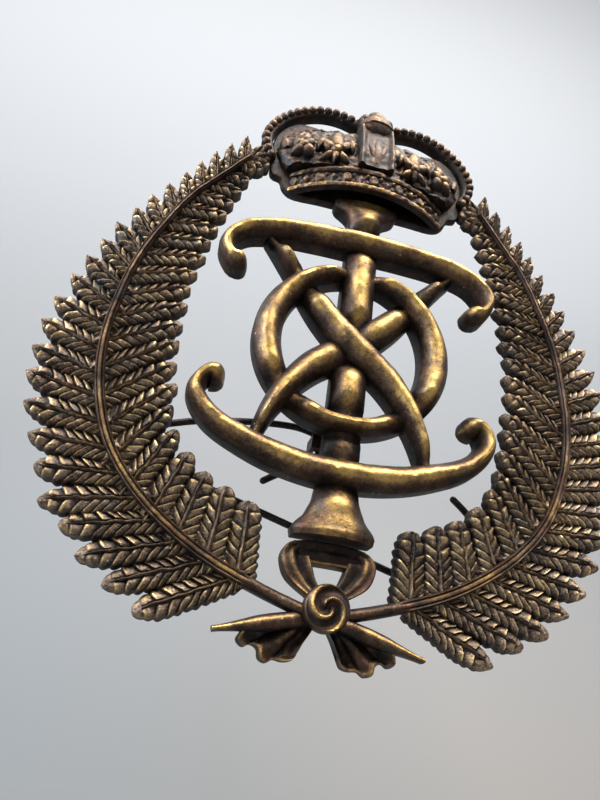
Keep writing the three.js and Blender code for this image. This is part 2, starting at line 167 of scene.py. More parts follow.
class Tree:
    """A short way to write the node tree of a material or a world."""

    def __init__(self, owner, shader="Principled BSDF"):
        owner.use_nodes = True
        self.owner = owner
        self.tree = owner.node_tree
        self.shader = self.tree.nodes[shader]
        self.place = self.node("TexCoord")["Object"]

    def node(self, kind, sockets={}, **settings):
        """Adds a node and gives its outputs; each of the sockets is set, or linked to another node's."""
        made = self.tree.nodes.new("ShaderNode" + kind)
        for key, value in settings.items():
            setattr(made, key, value)
        self.feed(made, sockets)
        return made.outputs

    def feed(self, node, sockets):
        for key, value in sockets.items():
            if isinstance(value, bpy.types.NodeSocket):
                self.tree.links.new(value, node.inputs[key])
            else:
                node.inputs[key].default_value = value

    def finish(self, sockets):
        self.feed(self.shader, sockets)
        return self.owner

    def noise(self, size_mm, detail=3, rough=0.55, stretch=(1, 1, 1)):
        place = self.node("Mapping", {"Vector": self.place, "Scale": stretch})[0]
        return self.node("TexNoise", {"Vector": place, "Scale": 1 / (size_mm * MM), "Detail": detail,
                                      "Roughness": rough})["Fac"]

    def spots(self, size_mm):
        return self.node("TexVoronoi", {"Vector": self.place, "Scale": 1 / (size_mm * MM)})["Distance"]

    def split(self, vector):
        return self.node("SeparateXYZ", {"Vector": vector})

    def math(self, kind, a, b, clamp=False):
        return self.node("Math", {0: a, 1: b}, operation=kind, use_clamp=clamp)[0]

    def span(self, value, low, high, to_low=0, to_high=1):
        return self.node("MapRange", {"Value": value, "From Min": low, "From Max": high, "To Min": to_low,
                                      "To Max": to_high})[0]

    def ramp(self, value, stops):
        node = self.tree.nodes.new("ShaderNodeValToRGB")
        elements = node.color_ramp.elements
        elements.remove(elements[1])
        elements[0].position = stops[0][0]
        elements[0].color = (*stops[0][1], 1)
        for position, colour in stops[1:]:
            elements.new(position).color = (*colour, 1)
        self.feed(node, {0: value})
        return node.outputs[0]

    def mix(self, amount, a, b, blend="MIX"):
        a, b = ((*value, 1) if isinstance(value, tuple) else value for value in (a, b))
        return self.node("Mix", {0: amount, 6: a, 7: b}, data_type="RGBA", blend_type=blend)[2]

    def bump(self, height, distance_mm, strength, **under):
        """under is Normal=, the bump that this one lies on."""
        return self.node("Bump", {"Height": height, "Distance": distance_mm * MM, "Strength": strength,
                                  **under})[0]

    def plain_back(self):
        """Lifts the wear of faces that lie on the back plane, which is plain brown rather than black."""
        facing = self.split(self.node("NewGeometry")["True Normal"])["Y"]
        behind = self.span(self.split(self.place)["Y"], BACK_FROM * MM, BACK_TO * MM)
        return self.math("MULTIPLY", self.span(facing, 0.7, 0.95, 0, BACK_LIFT), behind)


BACK_FROM = -1.5  # the back plane of the badge, where Y lies between these and beyond
BACK_TO = -1.2
BACK_LIFT = 0.24
WEAR_LEVELS = (0.04, 0.26, 0.5, 0.76, 0.98)  # the wear at which each of a metal's five shades lies
PATINA = (0.009, 0.0065, 0.0055)
BRASS_SHADES = (PATINA, (0.050, 0.031, 0.022), (0.155, 0.096, 0.052), (0.38, 0.240, 0.078),
                (0.50, 0.345, 0.125))
BRONZE_SHADES = (PATINA, (0.116, 0.085, 0.065), (0.235, 0.168, 0.114), (0.40, 0.285, 0.135),
                 (0.66, 0.51, 0.27))
RUST = (0.105, 0.046, 0.028)
# painted reflection: a cool blue-grey sky sheen
PAINTED_SKY_SHEEN = (0.075, 0.085, 0.088)
DUST = (0.62, 0.60, 0.56)
WIRE_SHADES = [(0.3, (0.010, 0.009, 0.009)), (0.55, (0.030, 0.027, 0.025)), (0.75, (0.075, 0.060, 0.048))]


def cast_metal(name, shades, bare, lift=0, blotch=0.22, grain=0.12, gloss=0, ruddy=0):
    """Patinated cast metal, coloured by each mesh's wear attribute, which also holds painted highlights and
    painted shade.

    bare is how metallic the darkest shade is, lift is added to the wear, blotch and grain are its
    broad and fine unevenness, and ruddy is the strength of the reddish stains."""
    tree = Tree(bpy.data.materials.new(name))
    wear_and_painted_light = tree.node("Attribute", attribute_name="wear_and_painted_light")["Fac"]
    broad = tree.noise(4.5, detail=4, rough=0.6)
    fine = tree.noise(0.7, detail=4, rough=0.65)
    pits = tree.noise(0.26, rough=0.6)
    uneven = tree.math("ADD", tree.span(broad, 0.3, 0.7, -blotch, blotch),
                       tree.span(fine, 0.3, 0.7, -1.2 * grain, grain))
    uneven = tree.math("MULTIPLY", uneven, tree.span(wear_and_painted_light, 0, 0.5, 0.25, 1))
    for low, high, depth in ((0.56, 0.68, -1.3), (0.42, 0.30, 1.3)):  # dark pits, then bright grains
        uneven = tree.math("ADD", uneven, tree.span(pits, low, high, 0, depth * grain))
    level = tree.math("ADD", tree.math("ADD", wear_and_painted_light, uneven), tree.math("ADD", tree.plain_back(), lift),
                      clamp=True)
    colour = tree.ramp(level, list(zip(WEAR_LEVELS, shades)))
    stain = tree.span(tree.noise(2.4, detail=4), 0.5, 0.68)
    stain = tree.math("MULTIPLY", stain, tree.span(level, 0.75, 0.3))
    colour = tree.mix(tree.math("MULTIPLY", stain, ruddy), colour, RUST)
    # Painted reflection: random patches of cool blue-grey sky sheen.
    sky_sheen = tree.math("MULTIPLY", tree.span(tree.noise(3.1), 0.52, 0.72), 0.30)
    colour = tree.mix(sky_sheen, colour, PAINTED_SKY_SHEEN)
    dot = tree.span(tree.spots(1.9), 0, 0.085, 1, 0)
    rare = tree.math("GREATER_THAN", tree.noise(2.3, detail=1), 0.57)
    dust = tree.math("MULTIPLY", tree.math("MULTIPLY", rare, dot), 0.8, clamp=True)
    colour = tree.mix(dust, colour, DUST)
    metallic = tree.math("MULTIPLY", tree.span(level, 0, 0.4, bare, 1), tree.math("SUBTRACT", 1, dust))
    rough = tree.math("ADD", tree.span(level, 0.1, 0.9, 0.53 - gloss, 0.42 - gloss),
                      tree.span(fine, 0.3, 0.7, -0.07, 0.09), clamp=True)
    soft = tree.bump(fine, 0.05 + 0.35 * grain, 0.6)
    return tree.finish({"Base Color": colour, "Metallic": metallic, "Roughness": rough,
                        "Normal": tree.bump(pits, grain, 0.45, Normal=soft),
                        "Coat Weight": 0.04, "Coat Roughness": 0.32})


def drawn_wire(name):
    tree = Tree(bpy.data.materials.new(name))
    fine = tree.noise(0.5, stretch=(1, 1, 3))
    return tree.finish({"Base Color": tree.ramp(fine, WIRE_SHADES), "Metallic": 0.9,
                        "Roughness": tree.span(fine, 0.3, 0.7, 0.32, 0.5),
                        "Normal": tree.bump(fine, 0.04, 0.4)})


# ---- Lines ----

class Line:
    """A smooth centripetal line through points, read by arc length from 0 to 1."""

    STEPS = 30  # between two points

    def __init__(self, points, side=1, closed=False):
        self.closed = closed
        pts = [np.array((side * x, z), float) for x, z in points]
        if closed:
            ring = [pts[-1], *pts, pts[0], pts[1]]
        else:
            ring = [2 * pts[0] - pts[1], *pts, 2 * pts[-1] - pts[-2]]
        dense = []
        for a, b, c, d in zip(ring, ring[1:], ring[2:], ring[3:]):
            dense += self.segment(a, b, c, d)
        dense.append(ring[-2])
        self.at = np.array(dense)
        steps = np.linalg.norm(np.diff(self.at, axis=0), axis=1)
        self.run = np.concatenate([[0], np.cumsum(steps)])
        self.length = float(self.run[-1])

    def segment(self, a, b, c, d):
        t1 = max(np.linalg.norm(b - a) ** 0.5, 1e-6)
        t2 = t1 + max(np.linalg.norm(c - b) ** 0.5, 1e-6)
        t3 = t2 + max(np.linalg.norm(d - c) ** 0.5, 1e-6)
        made = []
        for k in range(self.STEPS):
            t = t1 + (t2 - t1) * k / self.STEPS
            ab = a * (t1 - t) / t1 + b * t / t1
            bc = b * (t2 - t) / (t2 - t1) + c * (t - t1) / (t2 - t1)
            cd = c * (t3 - t) / (t3 - t2) + d * (t - t2) / (t3 - t2)
            abc = ab * (t2 - t) / t2 + bc * t / t2
            bcd = bc * (t3 - t) / (t3 - t1) + cd * (t - t1) / (t3 - t1)
            made.append(abc * (t2 - t) / (t2 - t1) + bcd * (t - t1) / (t2 - t1))
        return made

    def point(self, t):
        distance = t * self.length
        return np.array([np.interp(distance, self.run, self.at[:, k]) for k in (0, 1)])

    def direction(self, t):
        if self.closed:
            way = self.point((t + 0.002) % 1) - self.point((t - 0.002) % 1)
        else:
            way = self.point(min(1, t + 0.004)) - self.point(max(0, t - 0.004))
        return unit(way)

    def beside(self, t, offset):
        """The point at t, moved to the left of the line's direction."""
        p = self.point(t)
        d = self.direction(t)
        return p[0] - d[1] * offset, p[1] + d[0] * offset


def unit(way):
    return way / np.linalg.norm(way)


def left_of(way):
    return np.array([-way[1], way[0]])


def turns(count, way=1):
    """Even angles all the way round."""
    return [way * 2 * pi * k / count for k in range(count)]


def smooth(low, high, x):
    t = min(1, max(0, (x - low) / (high - low)))
    return t * t * (3 - 2 * t)


def lerp(a, b, t):
    return a + (b - a) * t


def read(table, x):
    """The value at x in a table of (place, value), in rising order."""
    return float(np.interp(x, [place for place, _ in table], [value for _, value in table]))


def bell(x, middle, width):
    """A soft peak of height 1."""
    return math.exp(-((x - middle) / width) ** 2)


def ripple(x, z, size, seed):
    """Gentle unevenness of about -0.5 to 0.5, the same each run."""
    return noise.noise(Vector((x / size, z / size, seed)))


# ---- Meshes ----

class Shell:
    """Collects closed surfaces in millimetres, each vertex with its wear."""

    def __init__(self):
        self.points = []
        self.wear_and_painted_light = []
        self.faces = []

    def add(self, points, wear_and_painted_light, faces):
        start = len(self.points)
        self.points += points
        self.wear_and_painted_light += wear_and_painted_light
        self.faces += [tuple(start + k for k in face) for face in faces]

    def relief(self, rows, columns, front, back):
        """A closed plate whose back is plain: back(r, v) is read only at the two outer columns."""
        wide, tall = len(columns), len(rows)
        made = [front(r, v) for r in rows for v in columns]
        made += [back(r, v) for r in rows for v in (columns[0], columns[-1])]
        behind = wide * tall
        faces = []
        for i in range(tall - 1):
            low, high = i * wide, (i + 1) * wide
            left, right = behind + 2 * i, behind + 2 * i + 1
            faces += [(low + k, low + k + 1, high + k + 1, high + k) for k in range(wide - 1)]
            faces.append((right, left, left + 2, right + 2))
            faces.append((low, high, left + 2, left))
            faces.append((high + wide - 1, low + wide - 1, right, right + 2))
        top = (tall - 1) * wide
        faces.append((behind, behind + 1, *range(wide - 1, -1, -1)))
        faces.append((behind + 2 * tall - 1, behind + 2 * tall - 2, *range(top, top + wide)))
        self.add([m[:3] for m in made], [m[3] for m in made], faces)

    def slab(self, rows, columns, front, back):
        """A closed plate: front(r, v) and back(r, v) give (x, y, z, wear) for r in rows, v in columns."""
        wide, tall = len(columns), len(rows)
        made = [side(r, v) for side in (front, back) for r in rows for v in columns]
        behind = wide * tall
        faces = []
        for i in range(tall - 1):
            low, high = i * wide, (i + 1) * wide
            for k in range(wide - 1):
                a, b, c, d = low + k, low + k + 1, high + k + 1, high + k
                faces += [(a, b, c, d), (behind + d, behind + c, behind + b, behind + a)]
            faces.append((low, high, behind + high, behind + low))
            low, high = low + wide - 1, high + wide - 1
            faces.append((behind + low, behind + high, high, low))
        for k in range(wide - 1):
            last = (tall - 1) * wide + k
            faces.append((behind + k, behind + k + 1, k + 1, k))
            faces.append((last, last + 1, behind + last + 1, behind + last))
        self.add([m[:3] for m in made], [m[3] for m in made], faces)

    def loft(self, rings, wear_and_painted_light, closed=False):
        """A closed body through rings of equally many points; open ends are capped with fans."""
        around = len(rings[0])
        points = [p for ring in rings for p in ring]
        levels = [w for row in wear_and_painted_light for w in row]
        faces = []
        count = len(rings)
        for i in range(count if closed else count - 1):
            j = (i + 1) % count
            for k in range(around):
                m = (k + 1) % around
                faces.append((i * around + k, i * around + m, j * around + m, j * around + k))
        if not closed:
            for i, flip in ((0, True), (count - 1, False)):
                middle = tuple(np.mean(rings[i], axis=0))
                points.append(middle)
                levels.append(float(np.mean(wear_and_painted_light[i])))
                hub = len(points) - 1
                for k in range(around):
                    m = (k + 1) % around
                    fan = (i * around + k, i * around + m, hub)
                    faces.append(fan[::-1] if flip else fan)
        self.add(points, levels, faces)

    def object(self, name, material, body="badge", sharp=38):
        """Makes the piece that replaces the CAD node of the same name."""
        mesh = bpy.data.meshes.new(name)
        mesh.from_pydata([(x * MM, y * MM, z * MM) for x, y, z in self.points], [], self.faces)
        turn_outward(mesh)
        mesh.attributes.new("wear_and_painted_light", "FLOAT", "POINT").data.foreach_set("value", self.wear_and_painted_light)
        mesh.shade_smooth()
        mesh.set_sharp_from_angle(angle=math.radians(sharp))
        mesh.materials.append(material)
        piece = new_object(name, mesh)
        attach(piece, body)
        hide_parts(name)


def turn_outward(mesh):
    work = bmesh.new()
    work.from_mesh(mesh)
    bmesh.ops.recalc_face_normals(work, faces=work.faces)
    work.to_mesh(mesh)
    work.free()


def flat(place, depth):
    """A plain dark surface at one depth, for Shell.slab."""
    def surface(r, v):
        x, z = place(r, v)
        return x, -depth, z, 0.05
    return surface


def spread(count, low=-1, high=1):
    count = max(2, round(count * FINE))
    return [lerp(low, high, k / (count - 1)) for k in range(count)]


# ---- Fern fronds ----

STEM_LINE = [(-13, -42), (-3.5, -39.6), (4, -38), (15, -34.2), (21, -30.8), (26, -26.8), (30, -21.8),
             (32.8, -15), (34, -8), (33.8, -1), (32.8, 6), (30.6, 13), (27.6, 20), (23.6, 26), (20.2, 31)]
OUTER_TIPS = [(22.6, -41.4), (30, -36.6), (36.3, -29.9), (40, -22.5), (42.2, -15.9), (42.7, -9),
              (42.3, -3), (39.8, 5), (36.9, 12.5), (32.7, 20.2), (29, 25.8), (25.6, 31), (21.2, 36)]
INNER_TIPS = [(10.9, -25.9), (14.5, -24.8), (19, -22), (22.4, -17.7), (23.5, -12), (24.3, -5),
              (24.6, 0), (24.1, 6), (22.9, 13), (21.6, 19), (19.8, 25.4), (19, 28.8)]
LEAVES_OUTSIDE = 24
LEAVES_INSIDE = 21
FIRST_ROOT = 0.235
LAST_ROOT = 0.985
CROWDING = 0.14
LEAFLET_PITCH = 1.2
LEAFLET_SLANT = 1  # how far a leaflet leans towards the tip, over its own reach
LEAFLET_HEIGHT = 0.52
LEAFLET_TOP = 0.77  # how far along its pitch a leaflet is highest
LEAFLET_ROWS = (0, 0.14, 0.36, 0.58, 0.77, 0.87, 0.94)
VEIN_HEIGHT = 0.62
VEIN_WIDTH = 0.075
LEAF_COLUMNS = (-1, -0.97, -0.91, -0.82, -0.68, -0.52, -0.36, -0.22, -0.13, -0.06, 0,
                0.06, 0.13, 0.22, 0.36, 0.52, 0.68, 0.82, 0.91, 0.97, 1)
LEAF_END_ROWS = [0.975, 0.988, 0.996, 0.9995]
LEAF_RIM = 1.55  # depth of the plain rim round each leaf
LEAF_TILT = 0.32  # laps each leaf over the one above it
TOP_LEAVES = [((18.6, 34.6), 2.6), ((17, 33), 2.6), ((16.7, 31), 2.4), ((17.6, 29.2), 2)]


def leaf_lines(tips, count, stem, side):
    line = Line(tips, side)
    made = []
    for i in range(count):
        even = i / (count - 1)
        t = even * (1 + CROWDING * (1 - even))
        made.append((stem.point(lerp(FIRST_ROOT, LAST_ROOT, t)), line.point(t)))
    return made


def leaf(shell, root, tip, spacing, free, blunt, rng, downward, gilt):
    """One leaf of paired leaflets, merged with its neighbours up to about "free" of its length.

    spacing is the distance to the next leaf at the root and at the tip, and blunt the two powers
    that shape the free end. downward is +1 or -1, the edge that faces the bow and laps over."""
    length = float(np.linalg.norm(tip - root))
    along = (tip - root) / length
    across = left_of(along)
    count = max(4, round(length / LEAFLET_PITCH))
    lean = rng.uniform(-0.03, 0.03)
    lift = rng.uniform(-0.07, 0.07)
    length *= 1 + rng.uniform(-0.03, 0.02)
    size = [rng.uniform(0.7, 1.25) for _ in range(2 * count + 2)]
    shine = [rng.uniform(-0.12, 0.16) for _ in range(2 * count + 2)]
    rows = sorted({(i + f) / count for i in range(count) for f in LEAFLET_ROWS}.union(LEAF_END_ROWS))

    def leaflet(r, v):
        """The number of the leaflet at (r, v), and how far along its pitch that is."""
        number = min(count - 1, int(r * count))
        return 2 * number + (v > 0), min(1, r * count - number)

    def place(r, v):
        f = leaflet(r, v)[1]
        beyond = max(0, r - free) / (1 - free)
        width = 0.57 * lerp(*spacing, r) * (1 - min(1, beyond) ** blunt[0]) ** blunt[1]
        scallop = sin(pi * f ** 1.4) - 0.4
        width *= 1 + 0.13 * scallop * smooth(0.75, 1, abs(v)) * (1 - smooth(0.9, 1, r))
        width = max(width, 0.05)
        run = r * length - LEAFLET_SLANT * min(width, 2) * (1 - abs(v)) * (1 - smooth(0.6, 0.95, r))
        spot = root + across * (v * width + lean * run) + along * run
        sway = 0.2 * smooth(0.1, 0.5, r)
        return spot + sway * (ripple(*spot, 1.3, 12) * across + ripple(*spot, 1.1, 13) * along)

    def front(r, v):
        x, z = place(r, v)
        a = abs(v)
        number, f = leaflet(r, v)
        climb = min(1, (0.12 + f) / 0.89) ** 0.85 if f < 0.8 else 1 - smooth(0.78, 0.95, f)
        at_tip = smooth(0.84, 0.94, r)
        reach = smooth(0.1, 0.26, a) * (1 - smooth(0.74, 0.97, a)) * (1 - at_tip)
        vein = bell(v, 0, VEIN_WIDTH) * (1 - at_tip)
        depth = LEAF_RIM + lift + 0.34 * (1 - a ** 2.2) + 0.3 * at_tip * (1 - a * a)
        depth += LEAFLET_HEIGHT * size[number] * climb * reach + VEIN_HEIGHT * vein
        depth -= 0.75 * smooth(0.86, 1, a) ** 2 + 0.5 * smooth(0.97, 1, r) ** 2
        depth += LEAF_TILT * v * downward + 0.15 * ripple(x, z, 0.8, 4) + 0.15 * ripple(x, z, 0.42, 5)
        if a > 0.99 or r > 0.997:
            return x, -depth, z, 0.05
        # Each leaflet's crest is lighter: rubbed metal with a painted highlight on it.
        crest = bell(f, LEAFLET_TOP, 0.09) * reach * (0.5 + 0.7 * smooth(0.3, 0.8, a))
        wear_and_painted_light = 0.22 + (0.54 + 1.5 * shine[number] + gilt) * crest
        wear_and_painted_light += (0.2 + gilt + 0.6 * shine[number]) * climb * reach
        # Darker in the groove at the start of each leaflet and beside the vein: patina in the hollows with
        # painted shade.
        wear_and_painted_light -= 0.2 * (1 - smooth(0.04, 0.3, f)) * reach + 0.16 * bell(a, 0.17, 0.06)
        # Painted shade: darker towards each leaf's edge, where it meets the next leaf.
        wear_and_painted_light -= 0.22 * smooth(0.78, 0.97, a) * (1 - 0.6 * smooth(free, 1, r))
        # The vein is lighter; the drop after each leaflet is darker, patina with painted shade.
        wear_and_painted_light += 0.4 * vein * (1 - 0.7 * smooth(0.6, 0.85, r)) - 0.3 * smooth(0.8, 0.9, f) * reach
        # Lighter towards the tips: rubbed metal with a painted highlight.
        wear_and_painted_light += 0.24 * smooth(0.7, 0.95, r) * smooth(0.2, 0.7, a) * (1 - smooth(0.93, 1, a)) + 0.12 * at_tip
        return x, -depth, z, wear_and_painted_light

    def back(r, v):
        x, z = place(r, v)
        return x, -(0.2 + 0.08 * v * downward - 0.05 * lift), z, 0.03

    shell.relief(rows, LEAF_COLUMNS, front, back)


def gap_between(a, b):
    """How far apart two leaves lie, squared to the first, at the root and at the tip."""
    across = left_of(unit(a[1] - a[0]))
    return tuple(max(1, abs(float((b[k] - a[k]) @ across))) for k in (0, 1))


def frond(side, name, material):
    stem = Line(STEM_LINE, side)
    rng = random.Random(SEED + side)
    shell = Shell()
    for tips, count, inner in ((OUTER_TIPS, LEAVES_OUTSIDE, False), (INNER_TIPS, LEAVES_INSIDE, True)):
        lines = leaf_lines(tips, count, stem, side)
        for i, (root, tip) in enumerate(lines):
            spacing = gap_between(lines[i], lines[i + 1] if i + 1 < count else lines[i - 1])
            toward_bow = float(left_of(unit(tip - root)) @ (lines[0][1] - lines[-1][1]))
            height = i / (count - 1)
            if inner:
                free, blunt = lerp(0.74, 0.5, smooth(0, 0.5, height)), (lerp(3, 2.2, height), 0.52)
                gilt = 0.16 * (1 - smooth(0.12, 0.5, height))
            else:
                free, blunt = lerp(0.46, 0.4, height), (lerp(2.4, 1.5, height), lerp(0.54, 0.78, height))
                gilt = 0
            leaf(shell, root, tip, spacing, free, blunt, rng, 1 if toward_bow > 0 else -1, gilt)
    for (x, z), wide in TOP_LEAVES:
        leaf(shell, stem.point(0.99), np.array([side * x, z]), (wide, wide), 0.5, (2.4, 0.5), rng, side, 0)

    def web(t, v):
        """The plain strip of metal that the leaves stand on."""
        return stem.beside(t, v * lerp(2.6, 1.6, t))

    shell.slab(spread(60, FIRST_ROOT, 0.995), (-1, 0, 1), flat(web, 1.7), flat(web, 0.3))
    shell.object(name, material, sharp=50)


STEM_COLUMNS = (-1, -0.9, -0.7, -0.52, -0.4, -0.3, -0.16, 0, 0.16, 0.3, 0.4, 0.52, 0.7, 0.9, 1)
STEM_CROSSING = (0, -38.75)
STEM_GROOVE = 0.42  # how far out the grooves lie


def stem_piece(side, name, material):
    """A grooved rib on the frond; below the wreath it is a plain round rod to its cut tail."""
    line = Line(STEM_LINE, side)
    shell = Shell()

    def half(t):
        tail = 1 - 0.6 * (1 - smooth(0, 0.055, t))
        swell = 1 + 0.2 * smooth(0.03, 0.07, t) * (1 - smooth(0.07, 0.14, t))
        return lerp(0.86, 0.52, t) * tail * swell

    def on_leaves(t):
        return smooth(8.6, 11, side * line.point(t)[0])

    def front(t, v):
        p = line.point(t)
        a = abs(v)
        dome = sqrt(max(0, 1 - a * a))
        groove = bell(a, STEM_GROOVE, 0.13)
        ribbed = on_leaves(t)
        depth = lerp(1.9 + 1.1 * dome, 2.3 + 0.75 * dome ** 0.6 - 0.26 * groove, ribbed)
        if side > 0:  # this stem passes beneath the other
            depth -= 0.9 * (1 - smooth(1.2, 3.4, math.dist(p, STEM_CROSSING)))
        depth += 0.16 * ripple(*p, 1.3, 3)
        rubbed = lerp(0.22 + 0.46 * (1 - smooth(0, 0.06, t)), 0.38, ribbed)
        wear_and_painted_light = 0.1 + rubbed * (1 - 0.45 * smooth(0.55, 0.9, t)) * dome ** 3 - 0.22 * ribbed * groove
        # Painted highlight: a lighter streak along the upper edge of the free tail.
        wear_and_painted_light += 0.42 * bell(side * v, 0.4, 0.22) * (1 - smooth(0.05, 0.12, t))
        x, z = line.beside(t, v * half(t))
        return x, -depth, z, wear_and_painted_light

    def back(t, v):
        x, z = line.beside(t, v * half(t))
        return x, -lerp(1.25 - 0.5 * sqrt(max(0, 1 - v * v)), 1, on_leaves(t)), z, 0.12

    shell.slab(spread(170, 0, 1), STEM_COLUMNS, front, back)
    shell.object(name, material)


# ---- Interlaced ornament ----

STRAP_BACK = 0.6
BACK_STEP = 0.04  # each strap's back lies this much deeper than the one before, so none coincide
STRAP_SHOULDER = 3.1
STRAP_CREST = 5.6
STRAP_ARC = 18  # points over a strap's rounded top
STRAP_STEP = 0.42  # between its sections
STRAP_END_STOPS = [0.004, 0.012, 0.024, 0.976, 0.988, 0.996]

BLADE = [(-15, 15.6), (-10, 9.8), (-5, 3.6), (0, -1.2), (5.6, -5.6), (10, -12), (12.4, -18.8)]
UPPER_SCROLL = [(0, 17.6), (7, 17.5), (13.4, 16.8), (18.6, 15), (20.8, 11.8), (19.4, 9.2), (17.2, 9.6)]
LOWER_SCROLL = [(0, -20.8), (7, -20.2), (13, -18.6), (18.4, -16), (20.8, -12.6), (19.4, -10.1),
                (17.2, -10.6)]
RING_CENTRE = (0, -1.2)
RING_RADIUS = 12.6
RING_POINTS = 36
RING_TOP = (0, 11.4)
RING_FOOT = (0, -13.8)
HIGH_MEET = (8.4, 8.2)  # where the blades cross the ring, above and below
LOW_MEET = (8.9, -10.2)
STAFF_FOOT = -29.6
STAFF_TOP = 25.8
STAFF_WIDTHS = [(-29.6, 5.3), (-28.7, 5.5), (-28.1, 5.2), (-26.8, 4), (-24.4, 3), (-21, 2.6), (0, 2.55),
                (20, 2.5), (22.8, 2.8), (23.6, 3.7), (24.3, 4.9), (24.9, 5.25), (25.8, 5.3)]
STAFF_LEVELS = [(-29.6, -0.3), (-29.1, 0.3), (-28.6, 0.1), (-26.5, -0.1), (-24, 0), (21.5, 0), (23.6, -0.7),
                (24.6, -1.1), (25.8, -1.3)]


def strap_ring(p, d, half, crest, squeeze, foot):
    """One section of a strap: flat back, upright walls and a rounded top, with its wear."""
    shoulder = lerp(foot + 0.2, min(STRAP_SHOULDER, crest - 1.2), squeeze)
    crest = lerp(foot + 0.4, crest, squeeze)
    half *= squeeze
    section = [(-0.97, foot, 0), (-1, foot + 0.25, 0.02), (-1, lerp(foot, shoulder, 0.6), 0.06)]
    for k in range(STRAP_ARC):
        turn = cos(pi * k / (STRAP_ARC - 1))
        across = -math.copysign(abs(turn) ** 0.86, turn)
        rise = max(0, 1 - abs(across) ** 1.7) ** 0.75
        rubbed = 0.05 + 0.22 * smooth(0, 0.35, rise) + 0.48 * smooth(0.5, 1, rise) ** 1.5
        section.append((across, lerp(shoulder, crest, rise), rubbed))
    section += [(-a, h, w) for a, h, w in section[2::-1]]
    ring = []
    for across, depth, _ in section:
        x = p[0] - d[1] * across * half
        z = p[1] + d[0] * across * half
        uneven = (0.16 * ripple(x, z, 3.2, 1) + 0.1 * ripple(x, z, 1.2, 7)) * smooth(1.5, 3.5, depth)
        ring.append((x, -(depth + uneven), z))
    return ring, [w for _, _, w in section]


def strap(name, material, line, half, order, under=(), over=(), round_ends=True, profile=None):
    """Sweeps a strap; it dips beneath each "under" crossing (x, z, reach, drop), with painted shade there,
    and rises at "over".

    half(t) is its half width, order counts the straps from the outermost back, and profile(t) is
    added to its height."""
    count = max(16, round(line.length / STRAP_STEP * FINE))
    stops = [k / count for k in range(count + 1 - line.closed)]
    if not line.closed:
        stops = sorted(set(stops + STRAP_END_STOPS))
    rings = []
    wear_and_painted_light = []
    for t in stops:
        p = line.point(t)
        width = half(t)
        crest = STRAP_CREST + (profile(t) if profile else 0)
        painted_shade = 0
        for x, z, reach, drop in under:
            near = 1 - smooth(0.35 * reach, reach, math.dist(p, (x, z)))
            crest -= drop * near
            # painted shade: darker where the strap passes beneath another
            painted_shade += 0.34 * near
        for x, z, reach, rise in over:
            crest += rise * (1 - smooth(0.2 * reach, reach, math.dist(p, (x, z))))
        squeeze = 1
        to_end = min(t, 1 - t) * line.length
        if round_ends and not line.closed and to_end < width:
            squeeze = sqrt(max(0.02, 1 - (1 - to_end / width) ** 2))
        ring, level = strap_ring(p, line.direction(t), width, crest, squeeze, STRAP_BACK + BACK_STEP * order)
        rings.append(ring)
        wear_and_painted_light.append([max(0, w - painted_shade) for w in level])
    shell = Shell()
    shell.loft(rings, wear_and_painted_light, line.closed)
    shell.object(name, material)


def blade_half(t):
    return 0.85 + 1.6 * sin(pi * t) ** 1.3


def ring_half(t):
    """Broad at its left and right, slender at its top and foot."""
    return 1.35 + 0.75 * cos(2 * pi * t) ** 2


def scroll_half(t):
    """Widest in the middle; near each end a neck, then a round bulb."""
    end = min(t, 1 - t)
    bulb = 0.62 * (1 - smooth(0.02, 0.055, end))
    neck = 0.1 * smooth(0.03, 0.07, end) * (1 - smooth(0.07, 0.13, end))
    return 1.05 + sin(pi * t) ** 1.2 + bulb - neck


def blades(material):
    for name, side, order in (("blade_rising", 1, 2), ("blade_falling", -1, 3)):
        under = [(-side * HIGH_MEET[0], HIGH_MEET[1], 4.6, 1.9), (-side * 14.6, 15.4, 4.6, 2),
                 (side * 12.4, -18.6, 4.6, 2)]
        over = [(side * LOW_MEET[0], LOW_MEET[1], 4.5, 0.3)]
        if side > 0:
            over.append((*RING_CENTRE, 5, 0.5))
        else:
            under.append((*RING_CENTRE, 4.6, 1.6))
        strap(name, material, Line(BLADE, side), blade_half, order, under, over)


def ring(material):
    circle = Line([(RING_CENTRE[0] + RING_RADIUS * cos(a), RING_CENTRE[1] + RING_RADIUS * sin(a))
                   for a in turns(RING_POINTS)], closed=True)
    under = [(*RING_TOP, 4.9, 1.8)] + [(side * LOW_MEET[0], LOW_MEET[1], 4.6, 1.8) for side in (1, -1)]
    over = [(*RING_FOOT, 4.5, 0.3)] + [(side * HIGH_MEET[0], HIGH_MEET[1], 4.5, 0.3) for side in (1, -1)]
    strap("ring", material, circle, ring_half, 1, under, over)


def scrolls(material):
    for half_line, name in ((UPPER_SCROLL, "upper_scroll"), (LOWER_SCROLL, "lower_scroll")):
        line = Line([(-x, z) for x, z in reversed(half_line)] + half_line[1:])
        strap(name, material, line, scroll_half, 4, over=[(*half_line[0], 5, 0.35)])


def staff(material):
    """The upright column, with a collar below the crown and a bell foot on the bow."""
    line = Line([(0, z) for z in (STAFF_TOP, 12, 0, -14, STAFF_FOOT)])
    under = [(*UPPER_SCROLL[0], 4.6, 1.8), (*RING_FOOT, 4.6, 1.8), (*RING_CENTRE, 6, 2.5),
             (*LOWER_SCROLL[0], 4.6, 1.8)]

    def along(table):
        return lambda t: read(table, lerp(STAFF_TOP, STAFF_FOOT, t))

    strap("staff", material, line, along(STAFF_WIDTHS), 0, under, [(*RING_TOP, 5, 0.35)], False,
          along(STAFF_LEVELS))


# ---- Ribbon bow ----

